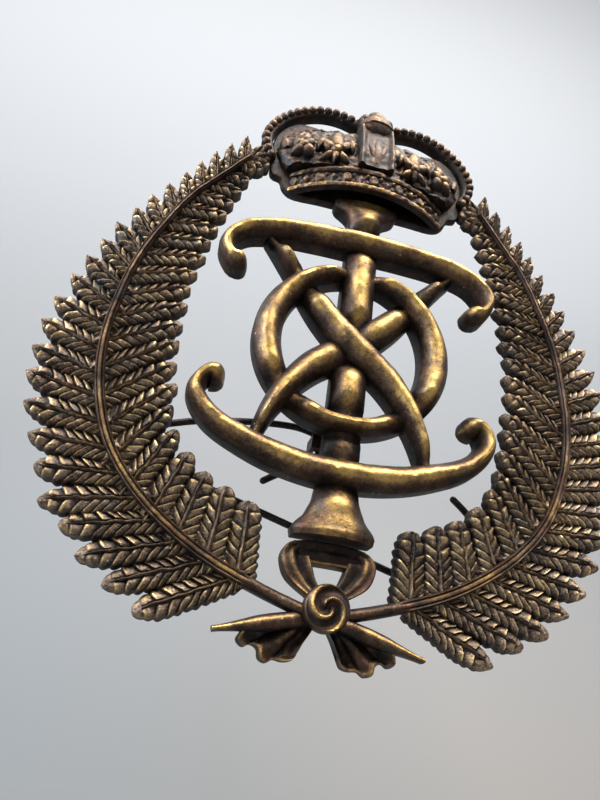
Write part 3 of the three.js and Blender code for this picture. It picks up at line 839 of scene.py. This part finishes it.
BOW_BAND = [(-4.5, -31.6), (-2.5, -31.35), (0, -31.3), (2.5, -31.35), (4.5, -31.6)]
BOW_LEG = [(3.4, -30.6), (4.3, -31.6), (4, -33.3), (2.9, -34.9), (1.3, -36.5)]
TAIL_START = [(1.9, -37.6), (1.4, -38.9), (0.5, -39.6)]
TAIL_END = [(9.5, -41.6), (9.9, -42.7), (9, -43.4), (8.2, -43), (7.3, -43.4), (7, -44.4), (6.1, -44.8),
            (5.2, -44.3), (4.1, -44.4), (3, -44.1), (2.5, -42.8)]
KNOT = (0, -38)
KNOT_RADIUS = 2.85
KNOT_AROUND = 84
KNOT_RINGS = 24
KNOT_TWIST = 5.2


def ribbon(shell, line, half, depth, folds, rows, thick):
    """A creased strip along a line: folds is a list of (place across, height) ridges."""

    def front(t, v):
        x, z = line.beside(t, v * half(t))
        level = depth(t) - 0.25 * smooth(0.85, 1, abs(v)) + 0.14 * ripple(x, z, 1.8, 5)
        wear_and_painted_light = 0.1
        for middle, high in folds:
            ridge = bell(v, middle, 0.2)
            level += high * ridge
            wear_and_painted_light += 0.4 * ridge * (1 if high > 0 else -0.6)
        return x, -level, z, wear_and_painted_light

    def back(t, v):
        x, z = line.beside(t, v * half(t))
        return x, -max(0.02, depth(t) - thick), z, 0.1

    shell.slab(spread(rows, 0, 1), spread(17), front, back)


def bow_loop(material):
    shell = Shell()
    ribbon(shell, Line(BOW_BAND), lambda t: 1.5, lambda t: 2.2 + 0.3 * sin(pi * t),
           [(-0.85, 0.3), (0.3, -0.2)], rows=46, thick=1.8)
    for side in (-1, 1):
        ribbon(shell, Line(BOW_LEG, side),
               lambda t: lerp(0.9, 1.85, smooth(0, 0.28, t)) * lerp(1, 0.48, smooth(0.4, 1, t)),
               lambda t: 2.5 + 0.6 * t - 0.5 * (1 - smooth(0, 0.3, t)),
               [(side * -0.9, 0.2), (side * -0.2, -0.16), (side * 0.25, 0.12), (side * 0.88, 0.16)],
               rows=36, thick=2.1)
    shell.object("ribbon_loop", material)


def bow_tails(material):
    for word, side in SIDES:
        start = Line(TAIL_START, side)
        finish = Line(TAIL_END, side)

        def point(t, v):
            share = (v + 1) / 2
            return lerp(start.point(share), finish.point(share), t)

        def front(t, v):
            x, z = point(t, v)
            wave = sin(4.6 * pi * (v + 1) / 2 + 0.5 + 0.8 * t)
            edge = max(abs(v), t)
            rim = smooth(0.86, 0.96, edge) * (1 - smooth(0.97, 1, edge))
            depth = 1.2 + 0.46 * smooth(0, 0.5, t) * wave + 0.42 * rim + 0.4 * ripple(x, z, 1.3, 9)
            depth -= 0.25 * smooth(0.95, 1, edge)
            return x, -max(0.5, depth), z, 0.08 + 0.22 * max(0, wave) ** 2 + 0.56 * rim

        shell = Shell()
        shell.slab(spread(34, 0, 1), spread(41), front, flat(point, 0.05))
        shell.object(f"ribbon_tail_{word}", material)


def knot(material):
    """A round boss with two raised cords wound in a spiral."""
    rings = []
    wear_and_painted_light = []

    def add_ring(r, surface):
        angles = turns(KNOT_AROUND, -1)
        made = [surface(angle) for angle in angles]
        rings.append([(KNOT[0] + KNOT_RADIUS * r * cos(angle), -depth,
                       KNOT[1] + KNOT_RADIUS * r * sin(angle))
                      for angle, (depth, _) in zip(angles, made)])
        wear_and_painted_light.append([level for _, level in made])

    for r, depth in ((0.93, 2.3), (1, 2.7), (1, 3.5)):
        add_ring(r, lambda angle: (depth, 0.06))
    for k in range(KNOT_RINGS, 0, -1):
        r = k / KNOT_RINGS
        body = 3.75 + 0.75 * sqrt(max(0, 1 - (0.97 * r) ** 2)) - 0.3 * (1 - smooth(0, 0.35, r))
        rim = bell(r, 0.93, 0.06)
        wound = smooth(0.04, 0.25, r) * (1 - 0.8 * smooth(0.9, 1, r))

        def surface(angle):
            cord = (0.5 + 0.5 * cos(2 * (angle + KNOT_TWIST * r - 0.3))) ** 2.2 * wound
            return body + 0.62 * cord + 0.2 * rim, 0.06 + 0.52 * cord + 0.14 * rim

        add_ring(r, surface)
    shell = Shell()
    shell.loft(rings, wear_and_painted_light)
    shell.object("bow_knot", material)


# ---- Crown ----

BAND_RADIUS = 20.3
BAND_WALL = 1.2
BAND_HALF_CHORD = 13.3
BAND_CENTRE_Y = -1.9 + sqrt(BAND_RADIUS ** 2 - BAND_HALF_CHORD ** 2)
BAND_SWING = math.asin(BAND_HALF_CHORD / BAND_RADIUS)
BAND_FOOT = [(26.2, -0.35), (26.32, -0.08), (26.6, 0.04), (26.95, 0), (27.14, -0.25), (27.24, -0.5)]
BAND_HEAD = [(29.44, -0.5), (29.52, -0.2), (29.8, -0.02), (30.1, -0.02), (30.32, -0.12), (30.4, -0.35)]
BAND_FLOOR = -0.55  # the recess that the stones stand in
STONES = 13
CAP_RADIUS = 36.5
CAP_EDGE = [(30.6, 13.9), (31.6, 14.9), (34, 16.2), (36.8, 16), (38.6, 15.2), (39.9, 14), (40.9, 12.4),
            (41.6, 10.6), (42, 8.6)]
CAP_FOOT = 30.65
CAP_TOP = 42
CAP_LEAN = [(30.6, 6.2), (34, 6), (38, 5), (41.2, 3.6), (42, 2.6)]
RIM_WEAR = (0.02, 0.54)
ARCH = [(16.4, 32.4), (17.7, 34.9), (18, 37.6), (16.5, 41), (13.5, 44), (9.7, 45.8), (6.4, 46.1), (3.9, 45.5),
        (2.4, 44.8)]
BEAD_PITCH = 1.42
BEAD_RADIUS = 0.78
BEAD_OFFSET = 0.3  # the beads lie along the outer half of the arch
RIB_FRONT = [(7.8, 30.8), (7.6, 34.6), (6.6, 39), (5.2, 42.9), (4.3, 45)]  # (depth, z)
RIB_BACK = [(5.4, 30.8), (5, 34.3), (3, 38.3), (0.8, 41.9), (0.3, 44.6)]
RIB_HALF = 2.95
LUMP_RINGS = 16
LUMP_AROUND = 30
BACK_PLATE = [(7, 26.3), (12.8, 26.3), (14.1, 27.4), (14.8, 29), (16.3, 29.5), (16.9, 33.4), (16.9, 37.1),
              (15.6, 40.3), (13.2, 42.3), (11, 42.5), (7.5, 42), (4, 41.9)]
PLATE_MIDDLE = 34.8
PLATE_AROUND = 160
PLATE_STEPS = [(0.99, 0.05, 0.05), (1, 0.2, 0.05), (1, 1.3, 0.05), (0.985, 1.55, 0.12), (0.95, 1.6, 0.05),
               (0.8, 1.6, 0.03), (0.5, 1.6, 0.03)]  # scale, depth, wear
DOME_STEPS = [(1, 0), (1, 0.25), (0.96, 0.5), (0.84, 0.72), (0.66, 0.87), (0.42, 0.96), (0.2, 0.995)]


def cap_depth(x, z):
    """The depth of the bonnet's surface, before its lobes."""
    return max(2.1, read(CAP_LEAN, z) - (CAP_RADIUS - sqrt(CAP_RADIUS ** 2 - x * x)) * 0.9)


def rib_depth(x, z):
    return read([(height, depth) for depth, height in RIB_FRONT], z) - 0.75


def stone(v, z):
    """The height, from 0 to 1, of the band's cut stones, which are round and lozenge-shaped in turn."""
    place = (v * 0.98 + 1) / 2 * STONES
    number = int(place)
    u = (place - number - 0.5) * 2
    w = (z - 28.34) / 1.08
    bead = math.hypot(u * 3.286 - math.copysign(3.3, u), (abs(w) - 0.62) * 3.2)
    small = 0.6 * sqrt(max(0, 1 - bead * bead))
    if number % 2:
        return max(small, min(1, 1.5 * max(0, 1 - abs(u) * 1.15 - abs(w))))
    far = math.hypot(u * 1.25, w * 1.05)
    return max(small, sqrt(max(0, 1 - far * far)) * (1 - 0.25 * (far < 0.45)))


def crown_band(material):
    """A hoop with a rolled rim above and below and a row of cut stones between them."""
    offsets = dict(BAND_FOOT + [(27.24 + 2.2 * k / 18, BAND_FLOOR) for k in range(1, 18)] + BAND_HEAD)

    def round_hoop(radius, z, v, wear_and_painted_light):
        angle = v * BAND_SWING
        return radius * sin(angle), BAND_CENTRE_Y - radius * cos(angle), z, wear_and_painted_light

    def front(z, v):
        cut = stone(v, z) if 27.25 < z < 29.43 else 0
        worn = ripple(v * BAND_SWING * BAND_RADIUS, z, 0.9, 11)
        wear_and_painted_light = 0.12 + (offsets[z] > -0.25) * (0.44 if z < 27.1 else 0.22) + 0.34 * cut + 0.3 * worn
        return round_hoop(BAND_RADIUS + offsets[z] + 0.48 * cut + 0.2 * worn, z, v, wear_and_painted_light)

    def back(z, v):
        return round_hoop(BAND_RADIUS - BAND_WALL, z, v, 0.05)

    shell = Shell()
    shell.slab(list(offsets), spread(200), front, back)
    shell.object("crown_band", material)


def crown_cap(material):
    """The bonnet: gathered lobes that rise from the band and lean back."""

    def front(z, v):
        x = v * read(CAP_EDGE, z)
        lobe = abs(cos(3.5 * pi * v))
        worn = ripple(x, z, 1.1, 2) + 0.6 * ripple(x, z, 0.5, 6)
        depth = cap_depth(x, z) + 0.42 * (lobe ** 0.55 - 1) - 0.5 * smooth(0.93, 1, abs(v)) + 0.34 * worn
        depth -= 0.4 * smooth(CAP_TOP - 0.8, CAP_TOP, z)
        return x, -max(depth, 1.75), z, 0.1 + 0.1 * lobe ** 3 + 0.5 * worn + 0.08 * smooth(34, 40, z)

    def back(z, v):
        return v * read(CAP_EDGE, z), -1.5, z, 0.05

    shell = Shell()
    shell.slab(spread(64, CAP_FOOT, CAP_TOP), spread(150), front, back)
    shell.object("crown_cap", material)


def petal(shell, base, tip, half, low, high, on, wear_and_painted_light):
    """A pointed, domed petal laid on the surface whose depth is on(x, z)."""
    base = np.array(base)
    way = np.array(tip) - base
    across = left_of(unit(way))

    def place(t, v):
        width = half * sin(pi * lerp(0.12, 0.985, t) ** 0.8) ** 0.75
        return base + way * t + across * v * width

    def front(t, v):
        spot = place(t, v)
        rise = (1 - v * v) ** 0.5 * sin(pi * lerp(0.15, 0.97, t)) ** 0.6
        depth = on(*spot) + lerp(low, high, rise) + 0.16 * ripple(*spot, 0.7, 15)
        return spot[0], -depth, spot[1], lerp(*wear_and_painted_light, rise ** 1.3)

    def back(t, v):
        spot = place(t, v)
        return spot[0], -(on(*spot) + low - 0.5), spot[1], 0.05

    shell.slab(spread(14, 0, 1), spread(9), front, back)


def dome(shell, x, z, radius, low, high, wear_and_painted_light, around=20, on=None):
    """A round boss from depth low to depth high; on(x, z) adds the depth of the surface below."""
    around = max(8, round(around * FINE))
    rings = []
    levels = []
    for scale, rise in DOME_STEPS:
        made = []
        for angle in turns(around, -1):
            px = x + radius * scale * cos(angle)
            pz = z + radius * scale * sin(angle)
            made.append((px, -(lerp(low, high, rise) + (on(px, pz) if on else 0)), pz))
        rings.append(made)
        levels.append([lerp(*wear_and_painted_light, rise ** 1.5)] * around)
    shell.loft(rings, levels)


def lump(shell, centre, radii, wear_and_painted_light):
    """A worn round knob, given by its centre and its half sizes along X, Y and Z."""
    rings = []
    levels = []
    for k in range(1, LUMP_RINGS):
        polar = pi * k / LUMP_RINGS
        made = []
        level = []
        for angle in turns(LUMP_AROUND):
            side = Vector((cos(angle) * sin(polar), sin(angle) * sin(polar),
                           -cos(polar)))
            swell = 1 + 0.07 * noise.noise(side * 1.7 + Vector(centre))
            made.append(tuple(c + r * d * swell for c, r, d in zip(centre, radii, side)))
            # Lighter towards the top and the front of the knob.
            level.append(lerp(*wear_and_painted_light, smooth(-0.3, 0.9, 0.75 * side.z - 0.66 * side.y)))
        rings.append(made)
        levels.append(level)
    shell.loft(rings, levels)


def rim_piece(name, material, x, petals, boss):
    """Petals (base, tip, half width, height), placed from x, round a boss (z, radius, height)."""
    shell = Shell()
    for base, tip, half, high in petals:
        petal(shell, (x + base[0], base[1]), (x + tip[0], tip[1]), half, -0.1, high, cap_depth, RIM_WEAR)
    dome(shell, x, boss[0], boss[1], -0.2, boss[2], RIM_WEAR, on=cap_depth)
    shell.object(name, material)


def rim_ornaments(material):
    """On each half of the bonnet, a leaf of many lobes and a four-petalled flower."""
    for word, side in SIDES:
        petals = [((0, 33.4), (0, 39.4), 1.55, 1.5), ((0, 33.8), (0, 30.8), 0.8, 1.2)]
        for turn in (-1, 1):
            petals += [((turn * 0.2, 33.6), (turn * 2.9, 36.2), 1.15, 1.3),
                       ((turn * 2.2, 36.6), (turn * 2.9, 33.4), 0.8, 1.35),
                       ((turn * 0.2, 33.2), (turn * 2.4, 31.3), 0.8, 1)]
        rim_piece(f"rim_leaf_{word}", material, side * 6.8, petals, (33.4, 1, 1.55))

        petals = [((0, 35.4), (-side * 0.6, 38.6), 0.95, 1.1),
                  ((side * 2.6, 34), (side * 3.4, 37.4), 0.8, 1)]
        for k in range(4):
            turn = pi / 2 * k + pi / 4
            c, s = cos(turn), sin(turn)
            petals.append(((0.1 * c, 34.2 + 0.1 * s), (2.5 * c, 34.2 + 2.9 * s), 1.2, 1.3))
        rim_piece(f"rim_quatrefoil_{word}", material, side * 12.1, petals, (34.2, 0.95, 1.5))


def crown_arches(material):
    """A flat band with a row of beads, from each side of the bonnet up to the knob."""
    for word, side in SIDES:
        line = Line(ARCH, side)

        def place(t, v):
            return line.beside(t, 0.9 * v * sqrt(max(0.08, 1 - (2 * t - 1) ** 16)))

        def front(t, v):
            x, z = place(t, v)
            depth = 2.4 - 0.3 * v * v - 0.3 * smooth(0.7, 1, abs(v))
            return x, -depth, z, 0.16 + 0.1 * ripple(*line.point(t), 1, 3)

        shell = Shell()
        shell.slab(spread(60, 0, 1), spread(11), front, flat(place, 0.3))
        beads = round(line.length / BEAD_PITCH)
        for k in range(beads):
            x, z = line.beside((k + 0.5) / beads, -side * BEAD_OFFSET)
            dome(shell, x, z, BEAD_RADIUS, 1.5, 3, (0.03, 0.42), around=16)
        shell.object(f"crown_arch_{word}", material)


def centre_rib(material):
    """The front arch: a raised band with rolled edges and three low petals, and a worn orb on top."""
    outer = Line(RIB_FRONT)
    inner = Line(RIB_BACK)

    def front(t, v):
        depth, z = outer.point(t)
        a = abs(v)
        edge = bell(a, 0.86, 0.1)
        worn = ripple(v * RIB_HALF, z, 1.2, 8)
        depth += 0.22 * edge - 0.3 + 0.24 * worn
        depth -= 0.35 * (1 - smooth(0.58, 0.8, a)) + 0.35 * smooth(0.94, 1, a)
        return v * RIB_HALF, -depth, z, 0.14 + 0.16 * edge + 0.4 * worn

    def back(t, v):
        depth, z = inner.point(t)
        return v * RIB_HALF, -depth, z, 0.05

    shell = Shell()
    shell.slab(spread(60, 0, 1), spread(25), front, back)
    for turn in (-1, 1):
        petal(shell, (turn * 0.5, 32.6), (turn * 1.5, 37.4), 0.8, -0.3, 0.4, rib_depth, (0.08, 0.32))
    petal(shell, (0, 31.6), (0, 39), 1, -0.3, 0.5, rib_depth, (0.08, 0.34))
    lump(shell, (0, -4.5, 42.3), (2.9, 1.9, 2.7), (0.14, 0.38))
    lump(shell, (0, -4.5, 42.1), (3.05, 2.1, 0.6), (0.12, 0.42))
    shell.object("crown_centre_rib", material)


def finial(material):
    """A worn central knob with a smaller one on either side."""
    shell = Shell()
    lump(shell, (0, -3, 45.4), (2, 2.1, 1.75), (0.1, 0.42))
    for side in (-1, 1):
        lump(shell, (side * 2, -2.9, 44.8), (1.25, 1.9, 1.35), (0.1, 0.36))
    shell.object("crown_finial", material)


def back_plate(material):
    outline = Line(BACK_PLATE + [(-x, z) for x, z in reversed(BACK_PLATE)], closed=True)
    edge = [outline.point(k / PLATE_AROUND) for k in range(PLATE_AROUND)]
    shell = Shell()
    shell.loft([[(x * scale, -depth, PLATE_MIDDLE + (z - PLATE_MIDDLE) * scale) for x, z in edge]
                for scale, depth, _ in PLATE_STEPS], [[wear_and_painted_light] * PLATE_AROUND for _, _, wear_and_painted_light in PLATE_STEPS])
    shell.object("crown_back_plate", material)


# ---- Keeper ----

WIRE_Y = 2.7
WIRE_RADIUS = 0.5
WIRE_AROUND = 14
PIVOT = (-27.6, -19.8)
WIRE_ROUTE = [(-9.6, -21.9), (-7.8, -20.6), (-5.6, -19.2), (-2.5, -17.2), (-1.9, -15.4), (-2.2, -13.8),
              (-4.6, -12.9), (-9.6, -13), (-19.5, -14.8), (-23.2, -16), (-26.4, -17.1), (-27.6, -18.1), PIVOT,
              (-27.6, -21.5), (-26.4, -22.3), (-22, -22.8), (-9.4, -25.95), (0, -28.4), (9.8, -31),
              (13.6, -31.9), (18.6, -30.2), (21.9, -25.6), (21.8, -22.2), (20.3, -20.5), (18.2, -18.8)]


def keeper_wire(material):
    """A bent wire with rounded ends."""
    line = Line(WIRE_ROUTE)
    tip = WIRE_RADIUS / line.length
    rings = []
    for t in sorted(set(spread(260, 0, 1) + [tip * 0.3, tip, 1 - tip, 1 - tip * 0.3])):
        to_end = min(t, 1 - t) * line.length
        radius = WIRE_RADIUS * sqrt(max(0.1, 1 - max(0, 1 - to_end / 0.45) ** 2))
        made = []
        for angle in turns(WIRE_AROUND):
            x, z = line.beside(t, radius * cos(angle))
            made.append((x, WIRE_Y + radius * sin(angle), z))
        rings.append(made)
    shell = Shell()
    shell.loft(rings, [[0.2] * WIRE_AROUND] * len(rings))
    shell.object("keeper_wire", material, body="keeper")


def fittings(material):
    """The lug and the two forks keep their CAD shapes and take the bronze finish."""
    for name in ("keeper_lug", "staff_fork", "frond_fork"):
        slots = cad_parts[name].data.materials
        slots.clear()
        slots.append(material)


# ---- Whole badge ----

add_camera()
add_world()
add_floor()
for softbox in SOFTBOXES:
    add_softbox(*softbox)
bpy.context.scene.view_settings.view_transform = "Standard"

bronze = cast_metal("patinated_bronze", BRONZE_SHADES, 0.55, grain=0.26, gloss=-0.07, ruddy=0.3)
shaded = cast_metal("shaded_bronze", BRASS_SHADES, 0.7, lift=-0.06, grain=0.18, ruddy=0.3)
brass = cast_metal("rubbed_brass", BRASS_SHADES, 0.8, blotch=0.28, ruddy=0.4)
plain = cast_metal("plain_bronze", BRASS_SHADES, 0.7, lift=0.2)
steel = drawn_wire("dark_drawn_wire")

for word, side in SIDES:
    frond(side, f"{word}_frond", bronze)
for word, side in SIDES:
    stem_piece(side, f"{word}_stem", brass)
for make in (blades, ring, scrolls, staff, bow_loop, bow_tails, knot):
    make(brass)
for make in (back_plate, crown_band, crown_cap, rim_ornaments, crown_arches, centre_rib, finial):
    make(shaded)
keeper_wire(steel)
fittings(plain)
